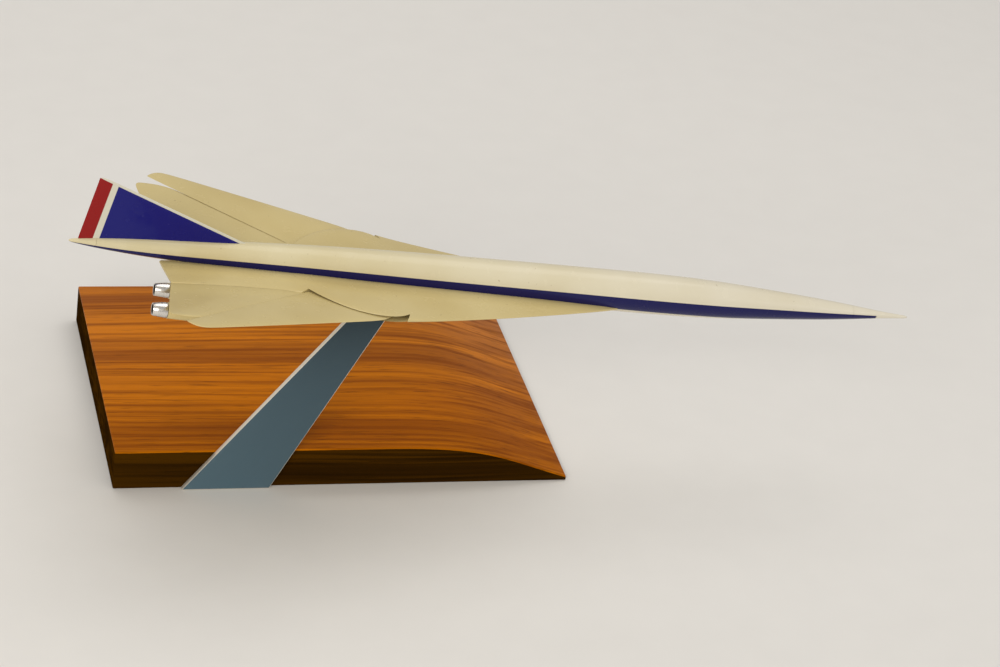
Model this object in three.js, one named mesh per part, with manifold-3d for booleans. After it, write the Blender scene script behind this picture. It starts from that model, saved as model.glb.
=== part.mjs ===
// Desk display model of a swing-wing supersonic airliner on a wooden base.
// Millimetres. +X points to the nose, +Y to the port side, +Z up.
// The origin is the centre of the wooden base's underside.
import * as THREE from 'three';
import { mergeVertices } from 'three/addons/utils/BufferGeometryUtils.js';
import Module from 'manifold-3d';

const wasm = await Module();
wasm.setup();

const degree = Math.PI / 180;
const seatGap = 0.3;

// Wooden base: flat on top, then falling in a curve to a thin front edge.
const base = { length: 251, depth: 178, height: 23, flatLength: 150, tipHeight: 2.5 };

// Flat strut on the base's front face, leaning forward and tapering upward.
const strut = { thickness: 3, lift: 0.5, footBack: -89, footFront: -41.5, lean: 0.763, frontLean: 0.499 };

// The airliner's own frame: x forward from the tail point, z up from the fuselage axis.
const airframe = { noseDown: 5.92 * degree, tailX: -157.5, tailZ: 152.1 };
// Socket in the belly for the strut's top
const strutSocket = { back: 165.1, front: 182, roof: -6.3, below: -14 };

// Fuselage radius at stations along the axis.
// station, radius
const tailConeProfile = [[0, 0], [0.8, 0.7], [5, 1.5], [14, 2.7]];
const bodyProfile = [
  [14, 2.7], [26, 3.9], [40, 5.0], [64, 6.3], [91, 7.4], [115, 8.5], [141, 9.5], [183, 10.3],
  [225, 10.7], [267, 10.9], [309, 11.1], [330, 10.8], [345, 10.2], [360, 9.2], [374, 8.0],
  [395, 6.5], [417, 5.0], [432.4, 3.4],
];
const noseProfile = [[432.7, 3.4], [439, 2.6], [452, 1.5], [463, 0.6], [466.3, 0]];

// Aerofoil section, from the trailing edge (0) to the leading edge (1).
// share of chord, half thickness as a share of the thickness
const aerofoil = [[0, 0.12], [0.35, 0.42], [0.68, 0.5], [0.92, 0.32], [1, 0.08]];

// Fin stations, from root to tip.
// z, leading edge x, trailing edge x, thickness
const finStations = [[1.2, 106.8, 4.5, 2.4], [34.5, 20, 9.9, 1.1], [37, 12.5, 10.3, 0.7]];

// Swing wing: its plane passes through the pivot, rising outboard and towards the tail.
const wing = {
  pivotX: 149.4, pivotY: 33.5, pivotZ: -4.5, riseOutboard: 0.07, riseAft: 0.035,
  swing: 42.5 * degree, thickness: 2.2, tabRadius: 17,
};
// Wing outline in the spread pose, measured from the pivot.
// outboard, leading edge, trailing edge, thickness
const wingStations = [
  [-7.5, 15, -22.4, 2.2], [6.5, 15.2, -25.4, 2.2], [40, -3, -32.4, 1.9], [96, -33.5, -44.2, 1.1],
  [99.2, -38, -44.6, 0.7],
];
const slot = { height: 2.9, radius: 24.2, clearance: 0.7, reach: 100, front: 17 };
const pin = { radius: 1.6, clearance: 0.15, below: 2.7, above: 2.1, holeBelow: 6 };

// Fixed inner wing on each side: a thin forward glove, a thick pivot box and a plate behind.
// x, edge y, edge z, edge half height, root z, root half height
const gloveStations = [
  [46.6, 26, -5.2, 0.35, -5.2, 0.5], [60, 26, -5.2, 0.9, -5.2, 1.3], [85, 26, -5.2, 1.3, -5.3, 2.2],
  [116.5, 26, -5.2, 1.4, -5.8, 3], [121, 27, -4.4, 1.9, -5.9, 3.4], [126, 30.5, -4.1, 2.2, -6, 3.5],
  [133, 37, -3.8, 2.3, -6, 3.6], [141, 42.5, -3.6, 2.4, -6.1, 3.6], [150, 46, -3.6, 2.4, -6.2, 3.6],
  [160, 46.8, -4, 2.4, -6.3, 3.6], [168, 45.6, -4.4, 2.2, -6.3, 3.6], [176, 44, -5, 1.1, -6.3, 3.5],
  [188, 41.5, -5.5, 0.6, -6.3, 3.4], [217, 34, -6, 0.5, -6.3, 3], [247, 25.5, -6.1, 0.5, -6.3, 2.5],
  [279, 15.5, -6.2, 0.5, -6.3, 1.6], [298, 8.5, -6.2, 0.4, -6.3, 0.8],
];
// Its shoulder line and inner face. The rear edge slants from rearX, forward by rearSlant per mm outboard.
const glove = { shoulder: 11, inner: 5.5, rearX: 46.8, rearSlant: 0.155 };

// Tailplane, rising outboard from the plate's side.
const tailplane = { rootY: 26.3, rootZ: -5.2, riseOutboard: 0.15 };
// outboard, leading edge x, trailing edge x, thickness
const tailplaneStations = [
  [26.3, 116.2, 50, 2.6], [62, 67.6, 43.3, 1.4], [66.5, 61, 42.6, 1.1], [69.5, 54.5, 44.8, 0.8],
];

// Engine pods hang under the tailplane, two on each side, each with a metal nozzle behind.
const pod = { radius: 4.6, lipRadius: 3.9, boreRadius: 2.9, boreDepth: 12 };
const nozzle = { length: 7.2, frontRadius: 3.9, backRadius: 3.2, boreRadius: 2.5, boreDepth: 5.5 };
// port number, starboard number, y, axis z, trimmed above z, back x, front x
const pods = [[1, 4, 50, -7.7, -3, 45.5, 95], [2, 3, 26, -9.8, -6.9, 50, 106]];

const cream = new THREE.MeshStandardMaterial({ color: 0xe6dcb8, roughness: 0.3, metalness: 0 });
const finBlue = new THREE.MeshStandardMaterial({ color: 0x1b1d6e, roughness: 0.3, metalness: 0 });
const nozzleMetal = new THREE.MeshStandardMaterial({ color: 0xc9c9c6, roughness: 0.3, metalness: 0.9 });
const strutMetal = new THREE.MeshStandardMaterial({ color: 0x5d7685, roughness: 0.4, metalness: 0.8 });
const pinMetal = new THREE.MeshStandardMaterial({ color: 0x9a9a98, roughness: 0.4, metalness: 0.9 });
const wood = new THREE.MeshStandardMaterial({ color: 0xb5651d, roughness: 0.35, metalness: 0 });

// A closed indexed mesh with shared corners and its faces pointing out.
function closed(geometry) {
  const bare = geometry.clone();
  bare.deleteAttribute('normal');
  bare.deleteAttribute('uv');
  const merged = mergeVertices(bare, 1e-4);
  const corners = merged.index.array;
  const position = merged.attributes.position;
  const [a, b, c] = [new THREE.Vector3(), new THREE.Vector3(), new THREE.Vector3()];
  const kept = [];
  let volume = 0;
  for (let i = 0; i < corners.length; i += 3) {
    const [p, q, r] = [corners[i], corners[i + 1], corners[i + 2]];
    if (p === q || q === r || r === p) continue;
    a.fromBufferAttribute(position, p);
    b.fromBufferAttribute(position, q);
    c.fromBufferAttribute(position, r);
    volume += a.dot(b.cross(c));
    kept.push(p, q, r);
  }
  if (volume < 0) kept.reverse();
  merged.setIndex(kept);
  merged.computeVertexNormals();
  return merged;
}

function toSolid(geometry) {
  const mesh = closed(geometry);
  return new wasm.Manifold(new wasm.Mesh({
    numProp: 3,
    vertProperties: new Float32Array(mesh.attributes.position.array),
    triVerts: new Uint32Array(mesh.index.array),
  }));
}

function toGeometry(solid) {
  const mesh = solid.getMesh();
  const geometry = new THREE.BufferGeometry();
  geometry.setAttribute('position', new THREE.BufferAttribute(mesh.vertProperties, 3));
  geometry.setIndex(new THREE.BufferAttribute(mesh.triVerts, 1));
  geometry.computeVertexNormals();
  return geometry;
}

// Turns a profile of [station, radius] pairs about the x axis.
function turned(profile, sides = 28) {
  const points = profile.map(([station, radius]) => new THREE.Vector2(radius, station));
  return new THREE.LatheGeometry(points, sides).rotateZ(-Math.PI / 2);
}

// Runs an outline through numbered stations; place gives each corner its position there.
function lofted(outline, stations, place) {
  const steps = stations.length - 1;
  const geometry = new THREE.ExtrudeGeometry(outline, { depth: steps, steps, bevelEnabled: false });
  const position = geometry.attributes.position;
  for (let i = 0; i < position.count; i += 1) {
    const station = stations[Math.round(position.getZ(i))];
    position.setXYZ(i, ...place(position.getX(i), position.getY(i), station));
  }
  return closed(geometry);
}

function polygon(points) {
  return new THREE.Shape(points.map(([x, y]) => new THREE.Vector2(x, y)));
}

function boxBetween(low, high) {
  const size = high.map((value, i) => value - low[i]);
  const centre = high.map((value, i) => (value + low[i]) / 2);
  return new THREE.BoxGeometry(...size).translate(...centre);
}

const aerofoilOutline = polygon([
  ...aerofoil.map(([share, half]) => [share, -half]),
  ...aerofoil.map(([share, half]) => [share, half]).reverse(),
]);

// A lifting surface: stations of [span, leading edge, trailing edge, thickness].
function surface(stations, place) {
  return lofted(aerofoilOutline, stations, (share, height, [span, lead, trail, thickness]) => (
    place(trail + share * (lead - trail), span, height * thickness)
  ));
}

function mirroredY(geometry) {
  return closed(geometry.clone().scale(1, -1, 1));
}

// Wooden base
function makeBase() {
  const half = base.length / 2;
  const curveStart = -half + base.flatLength;
  const outline = new THREE.Shape();
  outline.moveTo(-half, 0);
  outline.lineTo(half, 0);
  outline.lineTo(half, base.tipHeight);
  outline.bezierCurveTo(
    half - 0.35 * (half - curveStart), base.height * 0.62,
    curveStart + 0.55 * (half - curveStart), base.height,
    curveStart, base.height,
  );
  outline.lineTo(-half, base.height);
  const block = new THREE.ExtrudeGeometry(outline, {
    depth: base.depth, bevelEnabled: false, curveSegments: 14,
  });
  return block.rotateX(Math.PI / 2).translate(0, base.depth / 2, 0);
}

// Strut plate, in the upright plane of the base's front face
function makeStrut(topZ, noseDown) {
  const backX = strut.footBack + strut.lean * topZ;
  const frontX = strut.footFront + strut.frontLean * topZ;
  const drop = (frontX - backX) * Math.tan(noseDown);
  const outline = polygon([
    [strut.footBack, strut.lift], [strut.footFront, strut.lift], [frontX, topZ - drop], [backX, topZ],
  ]);
  const plate = new THREE.ExtrudeGeometry(outline, { depth: strut.thickness, bevelEnabled: false });
  return plate.rotateX(Math.PI / 2).translate(0, -base.depth / 2, 0);
}

// Fuselage, with a socket in its belly for the strut's top
const fuselageProfile = [...tailConeProfile, ...bodyProfile.slice(1), ...noseProfile];
const clearFuselage = toSolid(turned(fuselageProfile.map(([station, radius]) => (
  [station, radius && radius + seatGap]
))));

function makeFuselage() {
  const whole = turned([[14, 0], ...bodyProfile, [432.4, 0]]);
  const wide = strut.thickness / 2 + seatGap;
  const socket = boxBetween(
    [strutSocket.back, -wide, strutSocket.below], [strutSocket.front, wide, strutSocket.roof],
  );
  return toGeometry(toSolid(whole).subtract(toSolid(socket)));
}

function makeTailCone() {
  return closed(turned([...tailConeProfile.slice(0, -1), [14 - seatGap, 2.68], [14 - seatGap, 0]]));
}

function makeNoseCone() {
  return closed(turned([[noseProfile[0][0], 0], ...noseProfile]));
}

function makeFin() {
  const fin = surface(finStations, (x, span, height) => [x, height, span]);
  return toGeometry(toSolid(fin).subtract(clearFuselage));
}

// Swing wing parts, built flat about the pivot and then laid in the wing's plane
const swingPlaneNormal = new THREE.Vector3(wing.riseAft, -wing.riseOutboard, 1).normalize();
const layInPlane = new THREE.Matrix4().compose(
  new THREE.Vector3(wing.pivotX, wing.pivotY, wing.pivotZ),
  new THREE.Quaternion().setFromUnitVectors(new THREE.Vector3(0, 0, 1), swingPlaneNormal),
  new THREE.Vector3(1, 1, 1),
);

function upright(radius, low, high, sides = 32) {
  const drum = new THREE.CylinderGeometry(radius, radius, high - low, sides);
  return drum.rotateX(Math.PI / 2).translate(0, 0, (low + high) / 2);
}

function makeWing() {
  const panel = surface(wingStations, (lead, span, height) => [lead, span, height]);
  const half = wing.thickness / 2;
  const tab = upright(wing.tabRadius, -half, half, 48);
  const hole = upright(pin.radius + pin.clearance, -wing.thickness, wing.thickness);
  const whole = toSolid(panel).add(toSolid(tab)).subtract(toSolid(hole));
  return toGeometry(whole).rotateZ(wing.swing).applyMatrix4(layInPlane);
}

function makePin() {
  return upright(pin.radius, -pin.below, pin.above).applyMatrix4(layInPlane);
}

// Room for the wing's root: a disc about the pivot and the sweep from the folded trailing edge.
function makeSlot() {
  const [low, high] = [-slot.height / 2, slot.height / 2];
  const disc = upright(slot.radius, low, high, 64);
  const centre = new THREE.Vector2();
  const folded = ([span, , trail]) => new THREE.Vector2(trail, span).rotateAround(centre, wing.swing);
  const [root, tip] = [folded(wingStations[0]), folded(wingStations[wingStations.length - 1])];
  const along = tip.clone().sub(root).normalize();
  const aside = new THREE.Vector2(-along.y, along.x).multiplyScalar(slot.clearance);
  const sweep = polygon([
    root.add(aside).toArray(), tip.add(aside).toArray(), [-slot.reach, slot.reach],
    [slot.front, slot.reach], [slot.front, 0],
  ]);
  const fan = new THREE.ExtrudeGeometry(sweep, { depth: slot.height, bevelEnabled: false });
  fan.translate(0, 0, low);
  return toSolid(disc.applyMatrix4(layInPlane)).add(toSolid(fan.applyMatrix4(layInPlane)));
}

function makeGlove() {
  // The outline's corners are numbered across (0 inner, 1 shoulder, 2 edge) and up or down.
  const outline = polygon([[0, -1], [1, -1], [2, -1], [2, 1], [1, 1], [0, 1]]);
  const across = (corner, edgeY) => [glove.inner, Math.min(glove.shoulder, edgeY - 1), edgeY][corner];
  const place = (corner, side, [x, edgeY, edgeZ, edgeHalf, rootZ, rootHalf]) => {
    const atEdge = corner === 2;
    const z = (atEdge ? edgeZ : rootZ) + side * (atEdge ? edgeHalf : rootHalf);
    return [x, across(corner, edgeY), z];
  };
  const plate = toSolid(lofted(outline, gloveStations, place));
  const hole = upright(pin.radius + pin.clearance, -pin.holeBelow, pin.above + seatGap);
  const rear = new THREE.Vector3(1, -glove.rearSlant, 0).normalize();
  const rearPoint = new THREE.Vector3(glove.rearX, glove.inner, 0);
  return plate
    .subtract(clearFuselage)
    .subtract(makeSlot())
    .subtract(toSolid(hole.applyMatrix4(layInPlane)))
    .trimByPlane(rear.toArray(), rear.dot(rearPoint));
}

function makeTailplane() {
  return surface(tailplaneStations, (x, span, height) => (
    [x, span, tailplane.rootZ + tailplane.riseOutboard * (span - tailplane.rootY) + height]
  ));
}

// Pod hung under the glove and the tailplane, with its top trimmed off
function makePod(y, axisZ, topZ, back, front, loweredGlove) {
  const { radius, lipRadius, boreRadius, boreDepth } = pod;
  const length = front - back;
  const shell = turned([
    [back, 0], [back, radius * 0.9], [back + 0.3 * length, radius], [back + 0.7 * length, radius],
    [front, lipRadius], [front, boreRadius], [front - boreDepth, boreRadius * 0.8],
    [front - boreDepth, 0],
  ], 24).translate(0, y, axisZ);
  const above = boxBetween([0, 0, topZ], [front + radius, 2 * y, 0]);
  return toGeometry(toSolid(shell).subtract(toSolid(above)).subtract(loweredGlove));
}

function makeNozzle(y, axisZ, podBack) {
  const front = podBack - seatGap;
  const back = front - nozzle.length;
  return closed(turned([
    [front, 0], [front, nozzle.frontRadius], [back, nozzle.backRadius], [back, nozzle.boreRadius],
    [back + nozzle.boreDepth, nozzle.boreRadius], [back + nozzle.boreDepth, 0],
  ], 24).translate(0, y, axisZ));
}

const group = new THREE.Group();

function addMesh(parent, name, geometry, material) {
  const mesh = new THREE.Mesh(geometry, material);
  mesh.name = name;
  parent.add(mesh);
  return mesh;
}

const airliner = new THREE.Group();
airliner.position.set(airframe.tailX, -base.depth / 2 - strut.thickness / 2, airframe.tailZ);
airliner.rotation.y = airframe.noseDown;
group.add(airliner);

// The strut's top back corner sits just inside the socket.
const strutTopInset = 1.3;
const strutTop = airframe.tailZ - strutSocket.back * Math.sin(airframe.noseDown)
  + (strutSocket.roof - strutTopInset) * Math.cos(airframe.noseDown);

addMesh(group, 'wooden_base', closed(makeBase()), wood);
addMesh(group, 'support_strut', closed(makeStrut(strutTop, airframe.noseDown)), strutMetal);
addMesh(airliner, 'fuselage_body', makeFuselage(), cream);
addMesh(airliner, 'tail_cone', makeTailCone(), cream);
addMesh(airliner, 'nose_cone', makeNoseCone(), cream);
addMesh(airliner, 'tail_fin', makeFin(), finBlue);

const gloveSolid = makeGlove();
const loweredGlove = gloveSolid.translate([0, 0, -seatGap]);

// port name, starboard name, geometry, material
const pairs = [
  ['glove_left', 'glove_right', toGeometry(gloveSolid), cream],
  ['swing_wing_left', 'swing_wing_right', makeWing(), cream],
  ['pivot_pin_left', 'pivot_pin_right', makePin(), pinMetal],
  ['tailplane_left', 'tailplane_right', makeTailplane(), cream],
];
for (const [portNumber, starboardNumber, y, axisZ, topZ, back, front] of pods) {
  const shell = makePod(y, axisZ, topZ, back, front, loweredGlove);
  const tube = makeNozzle(y, axisZ, back);
  pairs.push([`engine_pod_${portNumber}`, `engine_pod_${starboardNumber}`, shell, cream]);
  pairs.push([`engine_nozzle_${portNumber}`, `engine_nozzle_${starboardNumber}`, tube, nozzleMetal]);
}
for (const [port, starboard, geometry, material] of pairs) {
  addMesh(airliner, port, closed(geometry), material);
  addMesh(airliner, starboard, mirroredY(geometry), material);
}

export default group;
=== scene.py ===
# Desk model of a swing-wing supersonic airliner on its strut and wooden base.
# Blender's metres, +X to the nose, +Y to port, +Z up. The pieces' own sizes are in millimetres.
import math

import bmesh
import bpy
from mathutils import Matrix, Quaternion, Vector
from mathutils.geometry import interpolate_bezier


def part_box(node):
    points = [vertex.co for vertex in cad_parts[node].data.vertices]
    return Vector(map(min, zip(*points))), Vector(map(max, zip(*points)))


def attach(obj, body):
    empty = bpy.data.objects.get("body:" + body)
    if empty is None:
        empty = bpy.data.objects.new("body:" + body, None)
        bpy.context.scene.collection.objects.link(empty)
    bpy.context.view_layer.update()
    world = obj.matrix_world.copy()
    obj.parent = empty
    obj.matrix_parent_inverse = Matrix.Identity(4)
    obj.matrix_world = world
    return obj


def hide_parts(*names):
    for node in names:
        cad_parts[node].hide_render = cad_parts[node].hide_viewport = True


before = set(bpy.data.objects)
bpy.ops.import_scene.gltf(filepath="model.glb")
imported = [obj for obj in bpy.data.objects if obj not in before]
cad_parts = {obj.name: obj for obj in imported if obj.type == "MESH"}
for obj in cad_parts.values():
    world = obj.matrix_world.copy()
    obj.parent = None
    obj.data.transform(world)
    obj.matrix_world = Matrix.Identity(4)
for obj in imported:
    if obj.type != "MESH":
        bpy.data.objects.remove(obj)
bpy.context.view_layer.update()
scene = bpy.context.scene
mm = 0.001
print("frame loaded with", len(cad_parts), "solids")

# The airliner hangs nose-down over the base's front face. x is measured from its tail point.
airliner = {"length": 466.3, "noseDown": 5.92, "tail": (-157.5, -90.5, 152.1)}
airlinerPlace = (
    Matrix.Translation(Vector(airliner["tail"]) * mm)
    @ Matrix.Rotation(math.radians(airliner["noseDown"]), 4, "Y")
    @ Matrix.Scale(mm, 4)
)
# Left is to port, and the right-hand pieces are its mirror image
sidePlaces = {"left": airlinerPlace, "right": airlinerPlace @ Matrix.Diagonal((1, -1, 1, 1))}
standPlace = Matrix.Scale(mm, 4)  # the strut and the base are drawn where they stand
mainBody = "airframe_on_stand"

# Camera at the photograph's place, with a longer lens and a small roll
camera = {
    "place": (-0.3451, -1.4592, 0.905),
    "towards": (0.2556, 0.8321, -0.4922),
    "roll": 8.2,
    "lens": 111.0, "sensor": 36.0, "clip": (0.05, 50.0),
}


def makeCamera():
    data = bpy.data.cameras.new("camera")
    data.lens = camera["lens"]
    data.sensor_width = camera["sensor"]
    data.clip_start, data.clip_end = camera["clip"]
    rig = bpy.data.objects.new("camera", data)
    scene.collection.objects.link(rig)
    rig.location = camera["place"]
    rig.rotation_mode = "QUATERNION"
    aim = Vector(camera["towards"]).to_track_quat("-Z", "Y")
    rig.rotation_quaternion = aim @ Quaternion((0, 0, 1), math.radians(camera["roll"]))
    scene.camera = rig


makeCamera()
print("camera placed")


# Mesh helpers
def addRing(bm, count, shape):
    # a circle of vertices, each moved by shape from its place across and up the circle to the section's
    ring = bmesh.ops.create_circle(bm, segments=count, radius=1.0)["verts"]
    for vert in ring:
        vert.co = shape(vert.co.x, vert.co.y)
    return list({edge for vert in ring for edge in vert.link_edges})


def loft(rings, count):
    # bridges one ring to the next and closes both ends
    bm = bmesh.new()
    loops = [addRing(bm, count, shape) for shape in rings]
    for here, there in zip(loops, loops[1:]):
        bmesh.ops.bridge_loops(bm, edges=here + there)
    for end in (loops[0], loops[-1]):
        cap = bmesh.ops.holes_fill(bm, edges=end, sides=0)["faces"]
        bmesh.ops.poke(bm, faces=cap)
    bmesh.ops.recalc_face_normals(bm, faces=bm.faces)
    return bm


def extrudeOutline(corners, depth):
    # a flat outline pushed out along depth into a closed block
    bm = bmesh.new()
    outline = bm.faces.new([bm.verts.new(corner) for corner in corners])
    pushed = bmesh.ops.extrude_face_region(bm, geom=[outline])["geom"]
    moved = [item for item in pushed if isinstance(item, bmesh.types.BMVert)]
    bmesh.ops.translate(bm, verts=moved, vec=depth)
    bmesh.ops.recalc_face_normals(bm, faces=bm.faces)
    return bm


def everything(bm):
    return bm.verts[:] + bm.edges[:] + bm.faces[:]


def cutFlat(bm, place, outward):
    # takes off what lies beyond a plane and closes the cut
    cut = bmesh.ops.bisect_plane(bm, geom=everything(bm), plane_co=place, plane_no=outward, clear_outer=True)
    rim = [item for item in cut["geom_cut"] if isinstance(item, bmesh.types.BMEdge)]
    bmesh.ops.holes_fill(bm, edges=rim, sides=0)


def withModifier(bm, kind, **settings):
    # runs one modifier on the mesh and hands the result back as a new bmesh
    mesh = bpy.data.meshes.new("work")
    bm.to_mesh(mesh)
    bm.free()
    work = bpy.data.objects.new("work", mesh)
    scene.collection.objects.link(work)
    modifier = work.modifiers.new("work", kind)
    for key, value in settings.items():
        setattr(modifier, key, value)
    shaped = work.evaluated_get(bpy.context.evaluated_depsgraph_get()).to_mesh()
    result = bmesh.new()
    result.from_mesh(shaped)
    work.to_mesh_clear()
    bpy.data.objects.remove(work)
    bpy.data.meshes.remove(mesh)
    return result


def smooth(bm, levels):
    return withModifier(bm, "SUBSURF", levels=levels, render_levels=levels)


def cutAway(bm, cutter):
    # takes the cutter's volume out of the mesh; both are in the same units
    mesh = bpy.data.meshes.new("cutter")
    cutter.to_mesh(mesh)
    cutter.free()
    tool = bpy.data.objects.new("cutter", mesh)
    scene.collection.objects.link(tool)
    result = withModifier(bm, "BOOLEAN", object=tool, operation="DIFFERENCE", solver="EXACT")
    bpy.data.objects.remove(tool)
    bpy.data.meshes.remove(mesh)
    return result


def finishPiece(name, bm, place, materials, node, body=mainBody, sharpAngle=35):
    # puts the mesh in its place and lets it stand for one solid of the frame
    bm.transform(place)
    bmesh.ops.remove_doubles(bm, verts=bm.verts, dist=0.002 * mm)
    bmesh.ops.recalc_face_normals(bm, faces=bm.faces)
    mesh = bpy.data.meshes.new(name)
    bm.to_mesh(mesh)
    bm.free()
    mesh.shade_smooth()
    mesh.set_sharp_from_angle(angle=math.radians(sharpAngle))
    for material in materials:
        mesh.materials.append(material)
    piece = bpy.data.objects.new(name, mesh)
    scene.collection.objects.link(piece)
    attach(piece, body)
    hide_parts(node)


# Material helpers
def newMaterial(name):
    material = bpy.data.materials.new(name)
    material.use_nodes = True
    tree = material.node_tree
    return material, tree, tree.nodes["Principled BSDF"]


def fillSocket(tree, socket, value):
    # a socket takes a link from another node or a plain value
    if isinstance(value, bpy.types.NodeSocket):
        tree.links.new(value, socket)
    else:
        socket.default_value = value


def addNode(tree, kind, inputs=None, **settings):
    node = tree.nodes.new(kind)
    for key, value in settings.items():
        setattr(node, key, value)
    for key, value in (inputs or {}).items():
        fillSocket(tree, node.inputs[key], value)
    return node


def objectCoords(tree):
    return addNode(tree, "ShaderNodeTexCoord").outputs["Object"]


def airlinerCoords(tree):
    # the airliner's own x, y and z in millimetres
    mapping = addNode(tree, "ShaderNodeMapping", {"Vector": objectCoords(tree)}, vector_type="TEXTURE")
    mapping.inputs["Location"].default_value = Vector(airliner["tail"]) * mm
    mapping.inputs["Rotation"].default_value = (0, math.radians(airliner["noseDown"]), 0)
    mapping.inputs["Scale"].default_value = (mm, mm, mm)
    return mapping.outputs[0]


def splitAxes(tree, coords):
    return addNode(tree, "ShaderNodeSeparateXYZ", {0: coords}).outputs


def calculate(tree, operation, first, second):
    return addNode(tree, "ShaderNodeMath", {0: first, 1: second}, operation=operation).outputs[0]


def noise(tree, coords, scale, detail=2.0, roughness=0.5):
    settings = {"Vector": coords, "Scale": scale, "Detail": detail, "Roughness": roughness}
    return addNode(tree, "ShaderNodeTexNoise", settings).outputs[0]


def remap(tree, value, source, target=(0.0, 1.0)):
    # stretches the source range over the target range and stops at its ends
    settings = {"Value": value, 1: source[0], 2: source[1], 3: target[0], 4: target[1]}
    return addNode(tree, "ShaderNodeMapRange", settings).outputs[0]


def between(tree, value, low, high, blur):
    # 1 between low and high, 0 outside, with a soft edge
    lowEdge = (calculate(tree, "SUBTRACT", low, blur), calculate(tree, "ADD", low, blur))
    highEdge = (calculate(tree, "SUBTRACT", high, blur), calculate(tree, "ADD", high, blur))
    above, below = remap(tree, value, lowEdge), remap(tree, value, highEdge, (1.0, 0.0))
    return calculate(tree, "MULTIPLY", above, below)


def mixColour(tree, share, first, second):
    # numbers, because the node has several sockets of each name: 6 and 7 are the colours
    return addNode(tree, "ShaderNodeMix", {0: share, 6: first, 7: second}, data_type="RGBA").outputs[2]


def spread(middle, offsets):
    # a range about a middle value
    return tuple(middle + offset for offset in offsets)


def linkFinish(tree, shader, colour, roughness, relief, strength, depth):
    # what varies over the surface: colour, roughness and a fine relief, its depth in metres
    bump = addNode(tree, "ShaderNodeBump", {"Height": relief, "Strength": strength, "Distance": depth})
    tree.links.new(colour, shader.inputs["Base Color"])
    tree.links.new(roughness, shader.inputs["Roughness"])
    tree.links.new(bump.outputs[0], shader.inputs["Normal"])


# Paint of the airliner; its patterns have their scales per millimetre
paint = {
    # each ivory tone fresh and yellowed; the wing's is darker and yellower than the body's, partly its own
    # tone and partly painted shade
    "wing": ((0.60, 0.495, 0.24, 1), (0.545, 0.435, 0.19, 1)),
    "body": ((0.66, 0.595, 0.395, 1), (0.60, 0.52, 0.305, 1)),
    "nose": ((0.71, 0.67, 0.565, 1), (0.675, 0.625, 0.49, 1)),
    "noseTone": (120.0, 420.0),  # x over which the body's tone turns into the nose's
    "stripe": (0.004, 0.004, 0.075, 1),
    "finBlue": (0.004, 0.0045, 0.150, 1),
    "finRed": (0.26, 0.002, 0.002, 1),
    "finWhite": (0.62, 0.60, 0.50, 1),
    "edgeBlur": 0.06,  # how soft a painted edge is
    "yellowing": {"scale": 0.022, "detail": 3.0, "roughness": 0.45, "range": (0.35, 0.7)},
    "specks": {"scale": 0.55, "detail": 1.0, "range": (0.76, 0.80), "share": 0.5,
               "colour": (0.28, 0.20, 0.10, 1)},
    "rubbed": {"scale": 0.12, "detail": 4.0, "range": (0.3, 0.7), "roughness": (0.17, 0.30)},
    "peel": {"scale": 0.45, "detail": 1.0, "strength": 0.05, "depth": 0.0001},
    "specular": 0.24, "coat": 0.12, "coatRoughness": 0.06,
}


def paintFinish(tree, shader, coords, colour):
    # aged gloss: hand-rubbed patches and a little orange peel
    rubbed, peel = paint["rubbed"], paint["peel"]
    patches = noise(tree, coords, rubbed["scale"], rubbed["detail"])
    roughness = remap(tree, patches, rubbed["range"], rubbed["roughness"])
    relief = noise(tree, coords, peel["scale"], peel["detail"])
    linkFinish(tree, shader, colour, roughness, relief, peel["strength"], peel["depth"])
    shader.inputs["Specular IOR Level"].default_value = paint["specular"]
    shader.inputs["Coat Weight"].default_value = paint["coat"]
    shader.inputs["Coat Roughness"].default_value = paint["coatRoughness"]


def agedIvory(tree, coords, fresh, old):
    # cloudy yellowing and a few specks
    yellowing, specks = paint["yellowing"], paint["specks"]
    cloud = noise(tree, coords, yellowing["scale"], yellowing["detail"], yellowing["roughness"])
    aged = mixColour(tree, remap(tree, cloud, yellowing["range"]), fresh, old)
    dust = noise(tree, coords, specks["scale"], specks["detail"])
    share = remap(tree, dust, specks["range"], (0.0, specks["share"]))
    return mixColour(tree, share, aged, specks["colour"])


# Ivory for the wings, inner wings, tailplanes and pods, darker than the body's partly as painted shade
def makeIvory():
    material, tree, shader = newMaterial("ivory paint")
    coords = airlinerCoords(tree)
    paintFinish(tree, shader, coords, agedIvory(tree, coords, *paint["wing"]))
    return material


# The stripe's upper and lower edge along the fuselage, as height over the axis at each x
stripe = {
    "x": (0, 41, 80, 133, 190, 330, 380, 420, 447),
    "top": (-0.4, -0.6, 0.2, 1.3, 1.5, 1.6, 1.3, 0.8, 0.3),
    "bottom": (-1.6, -3.6, -4.8, -5.4, -5.6, -6.6, -6.6, -4.8, -2.3),
    "start": -10.0, "end": 447.0, "endBlur": 0.4,
    "reach": 10.0,  # the curve's 0 to 1 stand for heights from -reach to reach
}


def heightAlong(tree, x, heights):
    # a height that follows x through the stripe's stations
    length, reach = airliner["length"], stripe["reach"]
    node = addNode(tree, "ShaderNodeFloatCurve")
    curve = node.mapping.curves[0]
    points = [(station / length, 0.5 + height / reach / 2) for station, height in zip(stripe["x"], heights)]
    curve.points[0].location = points[0]
    curve.points[1].location = points[-1]
    for point in points[1:-1]:
        curve.points.new(*point)
    node.mapping.update()
    tree.links.new(calculate(tree, "DIVIDE", x, length), node.inputs["Value"])
    return calculate(tree, "MULTIPLY", calculate(tree, "SUBTRACT", node.outputs[0], 0.5), reach * 2)


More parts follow.
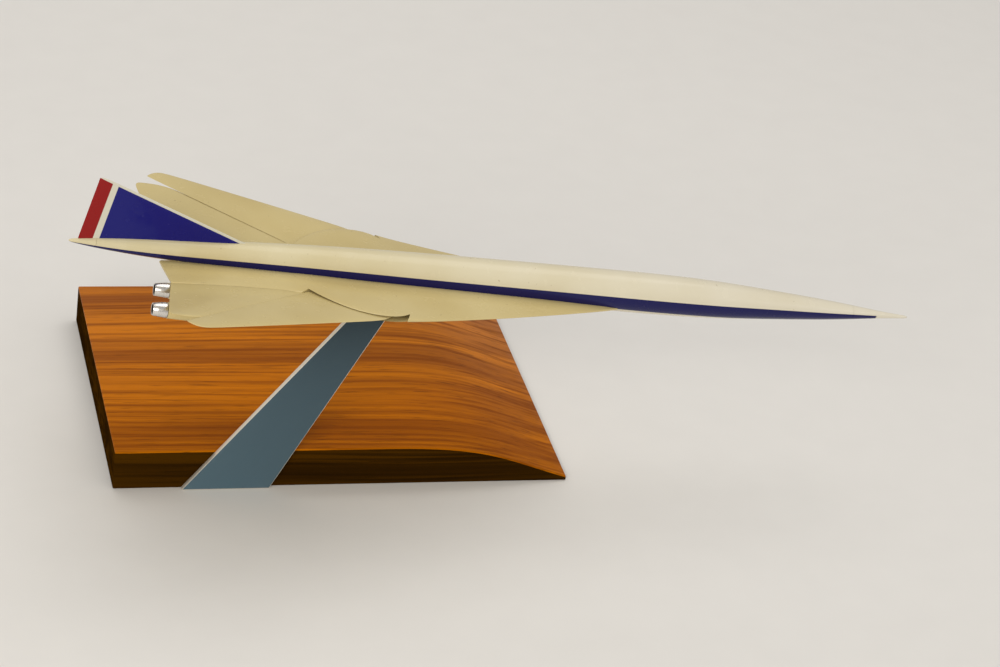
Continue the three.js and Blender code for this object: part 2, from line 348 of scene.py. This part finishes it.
def makeFuselagePaint():
    material, tree, shader = newMaterial("fuselage paint")
    coords = airlinerCoords(tree)
    axes = splitAxes(tree, coords)
    top = heightAlong(tree, axes["X"], stripe["top"])
    bottom = heightAlong(tree, axes["X"], stripe["bottom"])
    band = between(tree, axes["Z"], bottom, top, paint["edgeBlur"])
    along = between(tree, axes["X"], stripe["start"], stripe["end"], stripe["endBlur"])
    ahead = remap(tree, axes["X"], paint["noseTone"])
    fresh, old = (mixColour(tree, ahead, *tones) for tones in zip(paint["body"], paint["nose"]))
    ivoryTone = agedIvory(tree, coords, fresh, old)
    colour = mixColour(tree, calculate(tree, "MULTIPLY", band, along), ivoryTone, paint["stripe"])
    paintFinish(tree, shader, coords, colour)
    return material


# The fin's edges as lines in x and z, and how far each band reaches from its edge
finBands = {
    "trailing": ((4.5, 1.2), (10.3, 37.0)), "leading": ((106.8, 1.2), (20.0, 34.5)),
    "red": 7.2, "white": 10.4, "border": 1.3,
    "beyond": 20.0,  # clear of the fin, so that a band runs out over its edge
}


def distanceFrom(tree, axes, line):
    # distance ahead of a line in x and z
    here, there = Vector(line[0]), Vector(line[1])
    along = (there - here).normalized()
    ahead = calculate(tree, "SUBTRACT", axes["X"], here.x)
    up = calculate(tree, "SUBTRACT", axes["Z"], here.y)
    forward = calculate(tree, "MULTIPLY", ahead, along.y)
    return calculate(tree, "SUBTRACT", forward, calculate(tree, "MULTIPLY", up, along.x))


def makeFinPaint():
    # straight bands beside the trailing edge and a fine border along the leading edge
    material, tree, shader = newMaterial("fin paint")
    coords = airlinerCoords(tree)
    axes = splitAxes(tree, coords)
    blur, beyond = paint["edgeBlur"], finBands["beyond"]
    ahead = distanceFrom(tree, axes, finBands["trailing"])
    inside = distanceFrom(tree, axes, finBands["leading"])
    red = between(tree, ahead, -beyond, finBands["red"], blur)
    white = between(tree, ahead, finBands["red"], finBands["white"], blur)
    border = between(tree, inside, -finBands["border"], beyond, blur)
    colour = mixColour(tree, red, paint["finBlue"], paint["finRed"])
    colour = mixColour(tree, calculate(tree, "MAXIMUM", white, border), colour, paint["finWhite"])
    paintFinish(tree, shader, coords, colour)
    return material


ivory = makeIvory()
fuselagePaint = makeFuselagePaint()
finPaint = makeFinPaint()
print("airliner paint made")

# Metal with fine streaks: what the nozzles, the pins and the strut have in common
brushed = {
    "detail": 6.0, "range": (0.3, 0.7), "rougher": (-0.07, 0.1), "strength": 0.25, "depth": 0.00005,
    "standTop": 0.11,  # metres, where paintedTopShade is reached
}


def makeBrushed(name, colour, streaks, roughness, contrast=0.28, metallic=1.0, tilt=0.0, paintedTopShade=1.0):
    # streaks is how long and wide each is in metres, and tilt turns them about y;
    # the last argument is painted shade: how much of its brightness is left at the top of the stand
    material, tree, shader = newMaterial(name)
    mapping = addNode(tree, "ShaderNodeMapping", {"Vector": objectCoords(tree)}, vector_type="TEXTURE")
    mapping.inputs["Rotation"].default_value = (0, tilt, 0)
    mapping.inputs["Scale"].default_value = streaks
    pattern = noise(tree, mapping.outputs[0], 1.0, brushed["detail"])
    darker = tuple(part * (1 - contrast) for part in colour[:3]) + (1,)
    tone = mixColour(tree, pattern, darker, colour)
    height = splitAxes(tree, objectCoords(tree))["Z"]
    # painted shade: the colour darkens towards the top of the stand, as in the shadow of the airliner above
    shade = remap(tree, height, (0.0, brushed["standTop"]), (1.0, paintedTopShade))
    tone = addNode(tree, "ShaderNodeVectorMath", {0: tone, 3: shade}, operation="SCALE").outputs[0]
    rough = remap(tree, pattern, brushed["range"], spread(roughness, brushed["rougher"]))
    linkFinish(tree, shader, tone, rough, pattern, brushed["strength"], brushed["depth"])
    shader.inputs["Metallic"].default_value = metallic
    return material


# Fuselage: rings along the axis, smoothed, then parted at the nose and tail seams
fuselage = {
    # x, radius
    "stations": (
        (0.15, 0.35), (1.2, 0.85), (5, 1.5), (14, 2.7), (26, 3.9), (40, 5.0), (64, 6.3), (91, 7.4),
        (115, 8.5), (141, 9.5), (183, 10.3), (225, 10.7), (267, 10.9), (309, 11.1), (330, 10.8),
        (345, 10.4), (360, 9.7), (374, 8.7), (395, 7.2), (417, 5.5), (432.5, 3.9), (445, 2.5),
        (455, 1.5), (461, 1.1), (464.6, 0.85), (465.9, 0.5), (466.2, 0.2),
    ),
    "around": 40, "smoothing": 2, "seams": (13.85, 432.55), "seamGap": 0.12,
}


def fuselageSection(x, radius):
    def shape(across, up):
        return Vector((x, radius * across, radius * up))
    return shape


def makeFuselage():
    rings = [fuselageSection(*row) for row in fuselage["stations"]]
    whole = smooth(loft(rings, fuselage["around"]), fuselage["smoothing"])
    tailSeam, noseSeam = fuselage["seams"]
    gap = fuselage["seamGap"] / 2
    spans = (
        ("tailCone", "tail_cone", None, tailSeam - gap),
        ("fuselageBody", "fuselage_body", tailSeam + gap, noseSeam - gap),
        ("noseCone", "nose_cone", noseSeam + gap, None),
    )
    for name, node, low, high in spans:
        part = whole.copy()
        if low is not None:
            cutFlat(part, (low, 0, 0), (-1, 0, 0))
        if high is not None:
            cutFlat(part, (high, 0, 0), (1, 0, 0))
        finishPiece(name, part, airlinerPlace, [fuselagePaint], node)
    whole.free()


makeFuselage()
print("fuselage made")

# Section of the fin, the wings and the tailplanes, as shares of its chord and thickness. The ring is
# a little over full size, because smoothing draws it in.
section = {"halfChord": 0.504, "halfThickness": 0.6, "trailing": 0.25, "fullness": 0.7, "around": 28,
           "smoothing": 2}


def aerofoil(across, up):
    # share of the chord from the trailing edge, and height as a share of the thickness
    share = 0.5 + section["halfChord"] * across
    bulge = section["trailing"] + (1 - section["trailing"]) * max(0.0, share) ** section["fullness"]
    return share, section["halfThickness"] * up * bulge


def loftSections(rings):
    return smooth(loft(rings, section["around"]), section["smoothing"])


# Fin: sections stacked upwards
fin = {
    # height, leading edge, trailing edge, thickness
    "stations": ((-1.0, 112.2, 4.2, 2.3), (1.2, 106.6, 4.5, 2.3), (12, 78.5, 6.3, 1.9), (24, 47.2, 8.2, 1.5),
                 (33, 23.6, 9.7, 1.1), (35.8, 16.0, 10.1, 0.9), (36.8, 12.9, 10.3, 0.7)),
}


def finSection(z, lead, trail, thick):
    def shape(across, up):
        share, height = aerofoil(across, up)
        return Vector((trail + share * (lead - trail), height * thick, z))
    return shape


def makeFin():
    bm = loftSections([finSection(*row) for row in fin["stations"]])
    finishPiece("tailFin", bm, airlinerPlace, [finPaint], "tail_fin")


makeFin()
print("fin made")

# Swing wings: built flat about the pivot with the wing spread, folded back, then laid in their plane
wing = {
    "pivot": (149.4, 33.5, -4.5), "riseOutboard": 0.07, "riseAft": 0.035, "swing": 42.5,
    # the root ends in a round tab about the pivot, which is longer behind it
    "tabRadius": 16.8, "tabSpans": (-16.3, -14.5, -11.5), "tabBack": 1.15, "tabThickness": 1.9,
    # span, leading edge, trailing edge, thickness, all from the pivot
    "stations": ((-7.5, 15, -22.4, 2.2), (0, 16.4, -23.8, 2.2), (6.5, 15.2, -25.4, 2.2),
                 (16, 10.3, -27.4, 2.1), (40, -2.6, -32.4, 1.9), (68, -18, -38.3, 1.5),
                 (92, -31.2, -43.3, 1.1), (98, -35.2, -44.5, 0.9), (99.1, -39.2, -44.5, 0.6)),
}
wingNormal = Vector((wing["riseAft"], -wing["riseOutboard"], 1)).normalized()
wingPlane = (
    Matrix.Translation(wing["pivot"])
    @ Vector((0, 0, 1)).rotation_difference(wingNormal).to_matrix().to_4x4()
)


def wingSection(span, lead, trail, thick):
    def shape(across, up):
        share, height = aerofoil(across, up)
        return Vector((trail + share * (lead - trail), span, height * thick))
    return shape


def makeWings():
    rows = []
    for span in wing["tabSpans"]:
        reach = math.sqrt(wing["tabRadius"] ** 2 - span ** 2)
        rows.append((span, reach, -reach * wing["tabBack"], wing["tabThickness"]))
    rows += wing["stations"]
    fold = Matrix.Rotation(math.radians(wing["swing"]), 4, "Z")
    for side, place in sidePlaces.items():
        bm = loftSections([wingSection(*row) for row in rows])
        bm.transform(wingPlane @ fold)
        finishPiece("swingWing" + side.title(), bm, place, [ivory], "swing_wing_" + side,
                    body=side + "_wing")


makeWings()
print("wings made")

# Fixed inner wing: a thin glove in front, a thick box over the pivot and a plate behind
glove = {
    "inner": 3.0, "shoulder": 11.0, "fullness": 0.32, "rearX": 46.8, "rearSlant": 0.155, "around": 40,
    "smoothing": 1, "sharpAngle": 28,
    # x, then the outer edge's y, z and half thickness, then the root's z and half thickness
    "stations": (
        (46.7, 26, -5.2, 0.25, -5.2, 0.4), (49, 26, -5.2, 0.5, -5.2, 0.7), (60, 26, -5.2, 0.9, -5.2, 1.3),
        (85, 26, -5.2, 1.3, -5.3, 2.2), (110, 26, -5.2, 1.4, -5.8, 2.9), (118, 26.3, -4.9, 1.6, -5.9, 3.2),
        (122, 27.6, -4.4, 1.9, -5.9, 3.4), (127, 31.4, -4.1, 2.2, -6, 3.5), (133, 37, -3.8, 2.3, -6, 3.6),
        (141, 42.5, -3.6, 2.4, -6.1, 3.6), (150, 46, -3.6, 2.4, -6.2, 3.6), (160, 46.8, -4, 2.4, -6.3, 3.6),
        (168, 45.6, -4.4, 2.0, -6.3, 3.6), (176, 44, -5, 1.2, -6.3, 3.5), (188, 41.3, -5.5, 0.7, -6.3, 3.4),
        (217, 33.6, -6, 0.5, -6.3, 3), (247, 25.2, -6.1, 0.5, -6.3, 2.5), (279, 15.4, -6.2, 0.45, -6.3, 1.6),
        (298, 8.5, -6.2, 0.4, -6.3, 0.8),
    ),
}
# The slot that the swinging wing needs, about the pivot: its front lies just ahead of the spread wing,
# and its reach is well outside the inner wing
wingSlot = {"height": 2.9, "radius": 24.2, "around": 96, "clear": 0.7, "front": 17.0, "reach": 100.0}


def gloveSection(x, edgeY, edgeZ, edgeHalf, rootZ, rootHalf):
    def shape(across, up):
        y = glove["inner"] + (edgeY - glove["inner"]) * (1 + across) / 2
        out = max(0.0, (y - glove["shoulder"]) / max(1.0, edgeY - glove["shoulder"]))
        middle = rootZ + (edgeZ - rootZ) * out
        half = rootHalf + (edgeHalf - rootHalf) * out
        return Vector((x, y, middle + half * math.copysign(abs(up) ** glove["fullness"], up)))
    return shape


def makeRootCutter():
    # the round room about the pivot
    bm = bmesh.new()
    bmesh.ops.create_cone(bm, cap_ends=True, segments=wingSlot["around"], radius1=wingSlot["radius"],
                          radius2=wingSlot["radius"], depth=wingSlot["height"])
    return bm


def makeSweepCutter():
    # the wedge between the folded trailing edge and the spread leading edge
    fold = Matrix.Rotation(math.radians(wing["swing"]), 2)
    first, last = wing["stations"][0], wing["stations"][-1]
    root = fold @ Vector((first[2], first[0]))
    tip = fold @ Vector((last[2], last[0]))
    along = (tip - root).normalized()
    aside = Vector((-along.y, along.x)) * wingSlot["clear"]
    front, reach, high = wingSlot["front"], wingSlot["reach"], wingSlot["height"]
    corners = (root + aside, tip + aside, (-reach, reach), (front, reach), (front, 0))
    return extrudeOutline([(x, y, -high / 2) for x, y in corners], (0, 0, high))


def makeGloves():
    rear = Vector((1, -glove["rearSlant"], 0)).normalized()
    for side, place in sidePlaces.items():
        rings = [gloveSection(*row) for row in glove["stations"]]
        bm = smooth(loft(rings, glove["around"]), glove["smoothing"])
        for cutter in (makeRootCutter(), makeSweepCutter()):
            cutter.transform(wingPlane)
            bm = cutAway(bm, cutter)
        cutFlat(bm, (glove["rearX"], glove["inner"], 0), -rear)
        finishPiece("innerWing" + side.title(), bm, place, [ivory], "glove_" + side,
                    sharpAngle=glove["sharpAngle"])


makeGloves()
print("inner wings made")

# Pivot pins, with a small rounded foot under the inner wing
pin = {
    "radius": 1.6, "below": 2.7, "above": 2.1, "round": 0.2, "around": 40,
    "steel": {"colour": (0.55, 0.55, 0.54, 1), "streaks": (0.0007, 0.0007, 0.0007), "roughness": 0.3},
}


def makePins():
    steel = makeBrushed("pin steel", **pin["steel"])
    for side, place in sidePlaces.items():
        bm = bmesh.new()
        bmesh.ops.create_cone(bm, cap_ends=True, segments=pin["around"], radius1=pin["radius"],
                              radius2=pin["radius"], depth=pin["below"] + pin["above"])
        bmesh.ops.translate(bm, verts=bm.verts, vec=(0, 0, (pin["above"] - pin["below"]) / 2))
        rims = [edge for face in bm.faces if len(face.verts) > 4 for edge in face.edges]
        bmesh.ops.bevel(bm, geom=rims, offset=pin["round"], segments=2, profile=0.5, affect="EDGES",
                        material=-1)
        bm.transform(wingPlane)
        finishPiece("pivotPin" + side.title(), bm, place, [steel], "pivot_pin_" + side)


makePins()
print("pins made")

# Tailplanes, rising outboard, a little sunk into the inner wing's plate; the leading edge lies just
# under the folded wing's trailing edge
tailplane = {
    "rootY": 26.3, "rootZ": -5.2, "rise": 0.15,
    # span, leading edge, trailing edge, thickness, how far the leading edge is raised
    "stations": ((24.6, 123.7, 50.4, 2.5, 0.6), (26.3, 121.3, 50.0, 2.5, 0.55), (40, 102.2, 47.4, 2.0, 0.1),
                 (54, 82.5, 44.8, 1.6, -0.35), (62, 71.1, 43.4, 1.35, -0.6), (66.5, 64.1, 42.7, 1.1, -0.65),
                 (68.6, 59.2, 43.4, 0.9, -0.6), (69.4, 54.5, 45.2, 0.6, -0.6)),
}


def tailplaneSection(span, lead, trail, thick, raised):
    def shape(across, up):
        share, height = aerofoil(across, up)
        middle = tailplane["rootZ"] + tailplane["rise"] * (span - tailplane["rootY"]) + raised * share
        return Vector((trail + share * (lead - trail), span, middle + height * thick))
    return shape


def makeTailplanes():
    for side, place in sidePlaces.items():
        bm = loftSections([tailplaneSection(*row) for row in tailplane["stations"]])
        finishPiece("tailplane" + side.title(), bm, place, [ivory], "tailplane_" + side)


makeTailplanes()
print("tailplanes made")

# Engines: a pod with a spiked intake, and a bright nozzle behind it
engine = {
    "steps": 56,
    # number, y, z, back, front
    "pods": ((1, 50.0, -7.7, 45.5, 95.0), (2, 26.0, -9.8, 50.0, 106.0), (3, -26.0, -9.8, 50.0, 106.0),
             (4, -50.0, -7.7, 45.5, 95.0)),
    # share of the pod's length from its back, radius
    "outer": ((0, 4.1), (0.12, 4.35), (0.3, 4.55), (0.62, 4.55), (0.85, 4.25), (0.97, 3.95)),
    # x from the pod's front, radius
    "intake": ((0.0, 3.75), (-0.25, 3.45), (-1.2, 3.3), (-11.5, 2.9), (-11.5, 1.9), (-8.0, 1.75),
               (-3.5, 0.95), (-0.4, 0.0)),
    # x from the nozzle's front, radius
    "nozzle": ((0.0, 0.0), (0.0, 3.85), (-1.2, 3.95), (-4.5, 3.6), (-7.2, 3.15), (-7.4, 3.0), (-7.2, 2.75),
               (-3.0, 2.5), (-1.5, 2.3), (-1.5, 1.2), (-5.2, 0.0)),
    "nozzleGap": 0.3,  # between the pod's back and the nozzle's front
    # soot from this x to this x, measured as above, and inside this radius
    "intakeSoot": (-12.0, -0.6, 3.4), "nozzleSoot": (-12.0, -0.5, 2.72),
    "soot": {"light": (0.03, 0.027, 0.025, 1), "dark": (0.008, 0.007, 0.007, 1), "scale": 900.0,
             "roughness": 0.6},
    "metal": {"colour": (0.84, 0.81, 0.77, 1), "streaks": (0.0004, 0.0025, 0.0025), "roughness": 0.24},
}


def makeSoot():
    soot = engine["soot"]
    material, tree, shader = newMaterial("soot black")
    pattern = noise(tree, objectCoords(tree), soot["scale"])
    tree.links.new(mixColour(tree, pattern, soot["dark"], soot["light"]), shader.inputs["Base Color"])
    shader.inputs["Roughness"].default_value = soot["roughness"]
    return material


def spinProfile(profile, y, z):
    # turns a profile of x and radius about the engine's axis
    bm = bmesh.new()
    verts = [bm.verts.new((x, y, z + radius)) for x, radius in profile]
    edges = [bm.edges.new(pair) for pair in zip(verts, verts[1:])]
    bmesh.ops.spin(bm, geom=verts + edges, cent=(0, y, z), axis=(1, 0, 0), angle=math.tau,
                   steps=engine["steps"], use_merge=True)
    bmesh.ops.remove_doubles(bm, verts=bm.verts, dist=0.0005)  # closes the poles
    bmesh.ops.recalc_face_normals(bm, faces=bm.faces)
    return bm


def sootInside(bm, y, z, front, limits):
    # gives the second material to the faces within the limits
    low, high, radius = limits
    for face in bm.faces:
        centre = face.calc_center_median()
        inside = math.hypot(centre.y - y, centre.z - z) < radius
        face.material_index = 1 if inside and front + low < centre.x < front + high else 0


def makeEngines():
    sootBlack = makeSoot()
    brightMetal = makeBrushed("bright nozzle metal", **engine["metal"])
    for number, y, z, back, front in engine["pods"]:
        length = front - back
        profile = [(back, 0)] + [(back + share * length, radius) for share, radius in engine["outer"]]
        profile += [(front + ahead, radius) for ahead, radius in engine["intake"]]
        pod = spinProfile(profile, y, z)
        sootInside(pod, y, z, front, engine["intakeSoot"])
        finishPiece("enginePod%d" % number, pod, airlinerPlace, [ivory, sootBlack],
                    "engine_pod_%d" % number)
        start = back - engine["nozzleGap"]
        nozzle = spinProfile([(start + ahead, radius) for ahead, radius in engine["nozzle"]], y, z)
        sootInside(nozzle, y, z, start, engine["nozzleSoot"])
        finishPiece("engineNozzle%d" % number, nozzle, airlinerPlace, [brightMetal, sootBlack],
                    "engine_nozzle_%d" % number)


makeEngines()
print("engines made")

# Strut: a flat plate on the base's front face that leans forward and tapers upward. Its two flat faces
# are blue-grey, and the edges all round are bare.
# The blue-grey darkens towards the top as painted shade from the airliner above.
strut = {
    # x of its foot, and how far x runs forward for each millimetre of height
    "footBack": -89.0, "footFront": -41.5, "backLean": 0.763, "frontLean": 0.499,
    "lift": 0.5, "front": -92.0, "thickness": 3.0, "round": 0.3,
    # the blue-grey's top shade is painted shade, from the airliner above
    "blue": {"colour": (0.115, 0.197, 0.252, 1), "streaks": (0.05, 0.001, 0.0006), "roughness": 0.36,
             "contrast": 0.12, "metallic": 0.55, "paintedTopShade": 0.24},
    "bare": {"colour": (0.86, 0.81, 0.70, 1), "streaks": (0.02, 0.0004, 0.0004), "roughness": 0.36,
             "contrast": 0.1, "metallic": 0.55},
}


def makeStrut():
    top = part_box("support_strut")[1].z / mm
    backTop = strut["footBack"] + strut["backLean"] * top
    frontTop = strut["footFront"] + strut["frontLean"] * top
    fall = (frontTop - backTop) * math.tan(math.radians(airliner["noseDown"]))
    corners = ((strut["footBack"], strut["lift"]), (strut["footFront"], strut["lift"]),
               (frontTop, top - fall), (backTop, top))
    bm = extrudeOutline([(x, strut["front"], z) for x, z in corners], (0, strut["thickness"], 0))
    bmesh.ops.bevel(bm, geom=bm.edges[:], offset=strut["round"], segments=2, profile=0.5, affect="EDGES",
                    material=-1)
    for face in bm.faces:
        face.material_index = 0 if abs(face.normal.y) > 0.99 else 1  # blue-grey on the flat faces alone
    lean = math.atan2(top, (backTop + frontTop - strut["footBack"] - strut["footFront"]) / 2)
    blue = makeBrushed("blue-grey strut metal", tilt=-lean, **strut["blue"])
    bare = makeBrushed("bare strut edge", tilt=-lean, **strut["bare"])
    finishPiece("strutPlate", bm, standPlace, [blue, bare], "support_strut")


makeStrut()
print("strut made")

# Wood: straight grain along x that wavers a little. Each layer has its scale along the grain, how many
# times finer than the bands it is across it, the noise that it shows and how far it colours the wood.
wood = {
    "sway": {"scale": (4.0, 7.0, 7.0), "detail": 1.0, "width": 0.018},
    "bands": {"along": 2.2, "finer": 1.0, "detail": 3.0, "range": (0.40, 0.66), "share": 0.8},
    "streaks": {"along": 4.5, "finer": 5.5, "detail": 4.0, "range": (0.45, 0.64), "share": 0.9},
    "pores": {"along": 50.0, "finer": 24.0, "detail": 2.0, "range": (0.60, 0.70), "share": 0.65},
    "rougher": (-0.04, 0.1), "strength": 0.2, "depth": 0.0001, "gloss": (1.0, 0.50, 0.12, 1),
}


def stretched(tree, coords, scale, detail):
    # noise drawn out along the grain
    mapping = addNode(tree, "ShaderNodeMapping", {"Vector": coords})
    mapping.inputs["Scale"].default_value = scale
    return noise(tree, mapping.outputs[0], 1.0, detail)


def makeWood(name, light, dark, pore, roughness, specular, across, upright):
    # across and upright set how fine the bands are in y and z
    material, tree, shader = newMaterial(name)
    coords = objectCoords(tree)
    sway = wood["sway"]
    waver = calculate(tree, "MULTIPLY", stretched(tree, coords, sway["scale"], sway["detail"]), sway["width"])
    offset = addNode(tree, "ShaderNodeCombineXYZ", {"Y": waver, "Z": waver}).outputs[0]
    grain = addNode(tree, "ShaderNodeVectorMath", {0: coords, 1: offset}, operation="ADD").outputs[0]
    colour = light
    patterns, shares = {}, {}
    for kind, stain in (("bands", dark), ("streaks", dark), ("pores", pore)):
        layer = wood[kind]
        scale = (layer["along"], across * layer["finer"], upright * layer["finer"])
        patterns[kind] = stretched(tree, grain, scale, layer["detail"])
        shares[kind] = remap(tree, patterns[kind], layer["range"], (0.0, layer["share"]))
        colour = mixColour(tree, shares[kind], colour, stain)
    rough = remap(tree, shares["streaks"], (0.0, 1.0), spread(roughness, wood["rougher"]))
    linkFinish(tree, shader, colour, rough, patterns["pores"], wood["strength"], wood["depth"])
    shader.inputs["Specular IOR Level"].default_value = specular
    shader.inputs["Specular Tint"].default_value = wood["gloss"]
    return material


# Base: a block whose top falls in a curve to a thin edge below the nose
base = {
    "length": 251.0, "depth": 178.0, "height": 23.0, "flat": 150.0, "tip": 2.5, "cuts": 18, "round": 0.7,
    # the curve's handles, as shares of its run and of the height
    "tipHandle": (0.35, 0.62), "flatHandle": 0.55,
    "roundOver": 40, "sharpAngle": 30,
    "varnished": {"light": (0.56, 0.168, 0.001, 1), "dark": (0.23, 0.055, 0.001, 1),
                  "pore": (0.11, 0.027, 0.001, 1), "roughness": 0.36, "specular": 0.07, "across": 60.0,
                  "upright": 14.0},
    # the sides: the same wood far darker, which is painted shade
    "paintedShadeSide": {"light": (0.054, 0.021, 0.001, 1), "dark": (0.017, 0.007, 0.001, 1),
                "pore": (0.017, 0.007, 0.001, 1), "roughness": 0.45, "specular": 0.0, "across": 25.0,
                "upright": 80.0},
}


def topCurve():
    # the top's line from the thin edge up to the flat part
    half, high = base["length"] / 2, base["height"]
    start = -half + base["flat"]
    run = half - start
    back, up = base["tipHandle"]
    return interpolate_bezier(Vector((half, 0, base["tip"])), Vector((half - back * run, 0, up * high)),
                              Vector((start + base["flatHandle"] * run, 0, high)), Vector((start, 0, high)),
                              base["cuts"])


def makeBase():
    high = base["height"]
    curve = topCurve()
    bm = bmesh.new()
    bmesh.ops.create_cube(bm, size=1.0)
    bmesh.ops.scale(bm, verts=bm.verts, vec=(base["length"], base["depth"], high))
    bmesh.ops.translate(bm, verts=bm.verts, vec=(0, 0, high / 2))
    for point in curve[1:]:
        bmesh.ops.bisect_plane(bm, geom=everything(bm), plane_co=point, plane_no=(1, 0, 0))
    for vert in bm.verts:
        nearest = min(curve, key=lambda point: abs(point.x - vert.co.x))
        if vert.co.z > high / 2 and abs(nearest.x - vert.co.x) < 0.01:
            vert.co.z = nearest.z
    bmesh.ops.recalc_face_normals(bm, faces=bm.faces)
    corners = [edge for edge in bm.edges if edge.calc_face_angle(0) > math.radians(base["roundOver"])]
    bmesh.ops.bevel(bm, geom=corners, offset=base["round"], segments=3, profile=0.5, affect="EDGES",
                    material=-1)
    for face in bm.faces:
        face.material_index = 0 if face.normal.z > 0.2 else 1  # what faces up is varnished wood; the sides are the same wood far darker, as painted shade
    materials = [makeWood("varnished wood", **base["varnished"]),
                 makeWood("side wood darkened as painted shade", **base["paintedShadeSide"])]
    finishPiece("woodenBase", bm, standPlace, materials, "wooden_base", sharpAngle=base["sharpAngle"])


makeBase()
print("base made")

# Floor and studio light
studio = {
    "floor": (0.72, 0.71, 0.69, 1), "paler": 1.04, "mottling": 40.0, "floorRoughness": 0.7, "floorSize": 12.0,
    "sky": (0.85, 0.82, 0.78, 1), "skyStrength": 0.55, "aim": (0.07, -0.06, 0.08),
    # name, place, size, power, colour
    "lights": (
        ("keyLight", (-1.2, -2.1, 1.3), (1.4, 1.0), 34, (1.0, 0.95, 0.87)),
        ("topLight", (0.3, 0.4, 2.0), (1.8, 1.4), 14, (1.0, 0.97, 0.93)),
        ("fillLight", (2.0, -1.4, 0.9), (1.2, 1.2), 6, (0.95, 0.97, 1.0)),
        ("backLight", (-1.1, 2.1, 1.3), (2.4, 1.2), 6, (1.0, 0.98, 0.95)),
    ),
}


def makeFloor():
    bm = bmesh.new()
    bmesh.ops.create_grid(bm, x_segments=1, y_segments=1, size=studio["floorSize"])
    mesh = bpy.data.meshes.new("floor")
    bm.to_mesh(mesh)
    bm.free()
    material, tree, shader = newMaterial("pale floor")
    pattern = noise(tree, objectCoords(tree), studio["mottling"])
    paler = tuple(part * studio["paler"] for part in studio["floor"][:3]) + (1,)
    tree.links.new(mixColour(tree, pattern, studio["floor"], paler), shader.inputs["Base Color"])
    shader.inputs["Roughness"].default_value = studio["floorRoughness"]
    mesh.materials.append(material)
    floor = bpy.data.objects.new("floor", mesh)
    scene.collection.objects.link(floor)


def addLight(name, place, size, power, colour):
    data = bpy.data.lights.new(name, "AREA")
    data.shape = "RECTANGLE"
    data.size, data.size_y = size
    data.energy = power
    data.color = colour
    lamp = bpy.data.objects.new(name, data)
    scene.collection.objects.link(lamp)
    lamp.location = place
    lamp.rotation_euler = (Vector(studio["aim"]) - Vector(place)).to_track_quat("-Z", "Y").to_euler()
    lamp.visible_camera = False


def makeStudio():
    world = bpy.data.worlds.new("studio")
    scene.world = world
    world.use_nodes = True
    sky = world.node_tree.nodes["Background"]
    sky.inputs["Color"].default_value = studio["sky"]
    sky.inputs["Strength"].default_value = studio["skyStrength"]
    for light in studio["lights"]:
        addLight(*light)
    scene.view_settings.view_transform = "Standard"


makeFloor()
makeStudio()
print("studio made")
